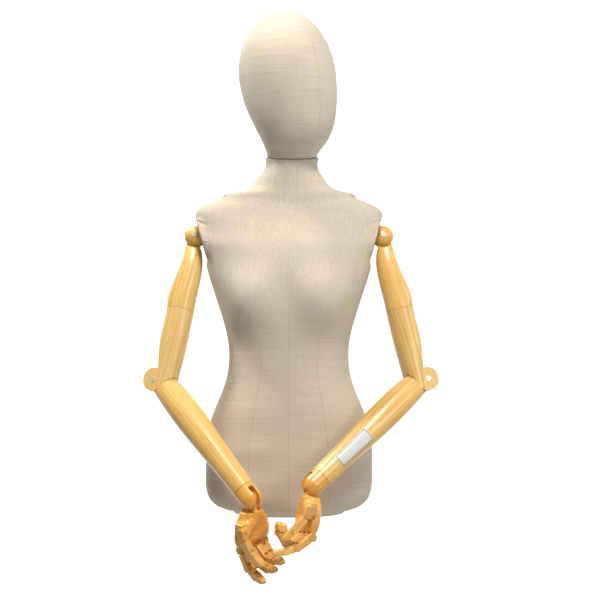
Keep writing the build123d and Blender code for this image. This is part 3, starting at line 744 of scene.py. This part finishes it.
def rivet_steel(node):
    """Bright tubular rivet: a polished ring about a hollow end, whose shade is painted near black."""
    side = node.split("_")[0]
    name = side + ("_shoulder_raise" if "shoulder" in node else "_elbow")
    where = next(j for j in frame["joints"] if j["name"] == name)
    t = Nodes("rivet_" + node)
    offset = t.vector("SUBTRACT", t.coordinates(), where["pos_m"])
    around = t.vector("CROSS_PRODUCT", offset, Vector(where["axis"]).normalized()[:])
    radius = t.vector("LENGTH", around)
    hollow = t.span(radius, 0.0011, 0.0015, 1.0, 0.0, smooth=True)
    cloud = t.noise(t.coordinates(), 700, 3)
    colour = t.mix(cloud, (0.80, 0.785, 0.74), (0.92, 0.91, 0.88))
    # painted shade: the hollow end is painted near black and less metallic
    colour = t.mix(hollow, colour, (0.05, 0.04, 0.035))
    return t.principled(Base_Color=colour, Roughness=t.span(cloud, 0.3, 0.7, 0.28, 0.42),
                        Metallic=t.math("MULTIPLY", t.math("SUBTRACT", 1.0, hollow), 0.45),
                        Normal=t.bump(t.math("MULTIPLY_ADD", hollow, -1.0, cloud), 0.0001, 0.5))


def moulded_shell():
    t = Nodes("moulded_shell")
    where = t.coordinates()
    fibre = t.noise(t.mapping(where, scale=(1, 1, 3)), 120, 5, 0.65, 1.2)
    cloud = t.noise(where, 9, 4)
    colour = t.ramp(fibre, [(0.35, (0.23, 0.19, 0.145)), (0.65, (0.36, 0.31, 0.245))])
    colour = t.mix(t.math("MULTIPLY", cloud, 0.35), colour, (0.45, 0.40, 0.33))
    normal = t.bump(fibre, 0.0008, 0.6)
    return t.principled(Base_Color=colour, Roughness=0.82, Normal=normal, Specular_IOR_Level=0.3)


def plywood():
    """Plies along Z, which show on the edge, and face grain along X."""
    t = Nodes("plywood")
    where = t.coordinates()
    split = t.node("SeparateXYZ")
    t.link(where, split.inputs[0])
    ply = t.math("MODULO", t.math("FLOOR", t.math("DIVIDE", split.outputs["Z"], 0.0028)), 2.0)
    grain = t.noise(t.mapping(where, scale=(9, 210, 60)), 1.0, 5, 0.6, 0.4)
    rings = t.noise(t.mapping(where, scale=(3, 30, 8)), 1.0, 3, 0.5, 1.5)
    face = t.ramp(t.math("MULTIPLY_ADD", grain, 0.6, t.math("MULTIPLY", rings, 0.4)),
                  [(0.35, (0.46, 0.29, 0.15)), (0.55, (0.62, 0.43, 0.25)), (0.7, (0.70, 0.52, 0.33))])
    colour = t.mix(t.math("MULTIPLY", ply, 0.4), face, (0.36, 0.21, 0.10))
    normal = t.bump(grain, 0.0003, 0.5)
    return t.principled(Base_Color=colour, Roughness=0.62, Normal=normal)


def dress(node, material):
    """Puts a material on every slot of a CAD node."""
    obj = nodes[node]
    if not obj.material_slots:
        obj.data.materials.append(material)
    for place in obj.material_slots:
        place.material = material


KNUCKLE_R = 0.0085
HEEL_R, HEEL_TIP_R, HEEL_BALLS = 0.0142, 0.0094, 9
CARVING_GRAIN = 0.0007


def carved_palm(side):
    """The palm as carved: the CAD palm with a full heel to the thumb and its edges run together."""
    at = {j["name"]: Vector(j["pos_m"]) for j in frame["joints"]}
    wrist, thumb = at[side + "_wrist_bend"], at[side + "_thumb_base_joint"]
    knuckles = (at[side + "_index_base_joint"] + at[side + "_little_base_joint"]) / 2
    down = (knuckles - wrist).normalized()
    reach = (knuckles - wrist).length
    heel = wrist + down * 0.34 * reach
    heel += (thumb - heel) * 0.10
    bm = bmesh.new()
    bm.from_mesh(nodes[side + "_palm"].data)
    bmesh.ops.remove_doubles(bm, verts=bm.verts, dist=1e-6)
    tip = thumb - (thumb - heel).normalized() * KNUCKLE_R
    for i in range(HEEL_BALLS):
        share = i / (HEEL_BALLS - 1)
        place = heel.lerp(tip, share)
        radius = HEEL_R * (1 - share) + HEEL_TIP_R * share
        bmesh.ops.create_icosphere(bm, subdivisions=4, radius=radius, matrix=Matrix.Translation(place))
    mesh = bpy.data.meshes.new("carved_" + side + "_palm")
    bm.to_mesh(mesh)
    bm.free()
    obj = bpy.data.objects.new("carved_" + side + "_palm", mesh)
    scene.collection.objects.link(obj)
    remesh = obj.modifiers.new("one_skin", "REMESH")
    remesh.mode = "VOXEL"
    remesh.voxel_size = CARVING_GRAIN
    settled(obj)
    group = obj.vertex_groups.new(name="carved")
    for v in obj.data.vertices:
        along = (v.co - wrist).dot(down)
        weight = smoothstep(along, 0.015, 0.026) * (1 - smoothstep(along, reach - 0.014, reach - 0.006))
        weight *= smoothstep((v.co - thumb).length, KNUCKLE_R, 0.016)
        if weight > 0:
            group.add([v.index], weight, "REPLACE")
    for times, name in ((160, "carved"), (4, "")):
        soft = obj.modifiers.new("sanded", "SMOOTH")
        soft.factor = 0.5
        soft.iterations = times
        soft.vertex_group = name
    settled(obj)
    obj.data.polygons.foreach_set("use_smooth", [True] * len(obj.data.polygons))
    obj.data.materials.clear()
    obj.data.materials.append(nodes[side + "_palm"].material_slots[0].material)
    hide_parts(side + "_palm")
    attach(obj, side + "_hand")


draw = random.Random(7)
BRIGHT_STEEL = steel("bright_steel", (0.74, 0.73, 0.70), 0.16, 0.34)
DARK_STEEL = steel("dark_steel", (0.26, 0.25, 0.24), 0.30, 0.50)
SHELL = moulded_shell()
PLY = plywood()
wooden = []
for name in sorted(nodes):
    if name in ("torso_cover", "head_cover"):
        continue
    if name in ("torso_shell", "head_shell"):
        dress(name, SHELL)
    elif name == "base_board":
        dress(name, PLY)
    elif name.endswith("rivet"):
        dress(name, rivet_steel(name))
    elif name in ("stand_socket", "socket_screws", "shoulder_plates", "neck_plate",
                                            "neck_stud", "stand_clamp_screw"):
        dress(name, BRIGHT_STEEL)
    elif name.endswith(("_wrist_pin", "hand_pins")):
        dress(name, DARK_STEEL)
    else:
        wooden.append(name)

for name in wooden:
    dress(name, beech(name, long_axis(name), draw))

for side in ("left", "right"):
    carved_palm(side)


# ------------------------------------------------------------ label
LABEL_LENGTH, LABEL_WIDTH = 0.078, 0.030
LABEL_CORNER = 0.002
LABEL_UP = 0.098          # its middle above the wrist pin
FOREARM_R = 0.0265


def blank_label():
    """Blank white sticker with a printed border, laid round the forearm."""
    at = {j["name"]: Vector(j["pos_m"]) for j in frame["joints"]}
    wrist, elbow = at["left_wrist_bend"], at["left_elbow"]
    up = (elbow - wrist).normalized()
    front = Vector((0, -1, 0))
    out = (front - up * front.dot(up)).normalized()
    across = up.cross(out)
    middle = wrist + up * LABEL_UP
    skin = outer_surface("left_forearm")
    rows, columns = 40, 20
    points, uvs = [], []
    for r in range(rows + 1):
        for c in range(columns + 1):
            u, v = r / rows - 0.5, c / columns - 0.5
            tuck = max(0.0, abs(u) * LABEL_LENGTH - (LABEL_LENGTH / 2 - LABEL_CORNER))
            inset = LABEL_CORNER - math.sqrt(max(LABEL_CORNER ** 2 - tuck ** 2, 0.0))
            half = LABEL_WIDTH / 2 - inset
            turn = v * 2 * half / FOREARM_R
            aim = out * math.cos(turn) + across * math.sin(turn)
            start = middle + up * u * LABEL_LENGTH
            hit, normal = skin.ray_cast(start + aim * 0.08, -aim)[:2]
            lift = 0.00022 + 0.0005 * smoothstep(abs(u), 0.47, 0.5) * (1 if u > 0 and v > 0.2 else 0.15)
            points.append(hit + normal * lift)
            uvs.append((u * LABEL_LENGTH, v * 2 * half))
    faces = [(r * (columns + 1) + c, r * (columns + 1) + c + 1, (r + 1) * (columns + 1) + c + 1,
              (r + 1) * (columns + 1) + c) for r in range(rows) for c in range(columns)]
    mesh = bpy.data.meshes.new("blank_label")
    mesh.from_pydata([p[:] for p in points], [], faces)
    layer = mesh.uv_layers.new(name="print")
    layer.data.foreach_set("uv", [x for f in faces for i in f for x in uvs[i]])
    mesh.polygons.foreach_set("use_smooth", [True] * len(faces))
    obj = bpy.data.objects.new("blank_label", mesh)
    scene.collection.objects.link(obj)
    if (mesh.polygons[len(faces) // 2].normal).dot(out) < 0:
        mesh.flip_normals()
    thicken(obj, 0.00018)
    t = Nodes("label_paper")
    place = t.node("SeparateXYZ")
    t.link(t.node("UVMap", uv_map="print").outputs[0], place.inputs[0])
    from_end = t.math("SUBTRACT", LABEL_LENGTH / 2, t.math("ABSOLUTE", place.outputs["X"]))
    from_side = t.math("SUBTRACT", LABEL_WIDTH / 2, t.math("ABSOLUTE", place.outputs["Y"]))
    inset = t.math("MINIMUM", from_end, from_side)
    line = t.math("SUBTRACT", 1.0, t.span(t.math("ABSOLUTE", t.math("SUBTRACT", inset, 0.0019)),
                                          0.00038, 0.00055))
    fibre = t.noise(t.coordinates(), 900, 3, 0.6)
    stain = t.noise(t.coordinates(), 60, 3, 0.6)
    paper = t.ramp(fibre, [(0.3, (0.66, 0.65, 0.63)), (0.7, (0.74, 0.73, 0.71))])
    paper = t.mix(t.span(stain, 0.5, 0.8, 0.0, 0.25), paper, (0.66, 0.60, 0.50))
    colour = t.mix(line, paper, (0.03, 0.03, 0.03))
    obj.data.materials.clear()
    obj.data.materials.append(t.principled(
        Base_Color=colour, Roughness=t.span(fibre, 0.3, 0.7, 0.38, 0.52),
        Normal=t.bump(fibre, 0.00004, 0.5), Specular_IOR_Level=0.4))
    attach(obj, "left_fore")


blank_label()
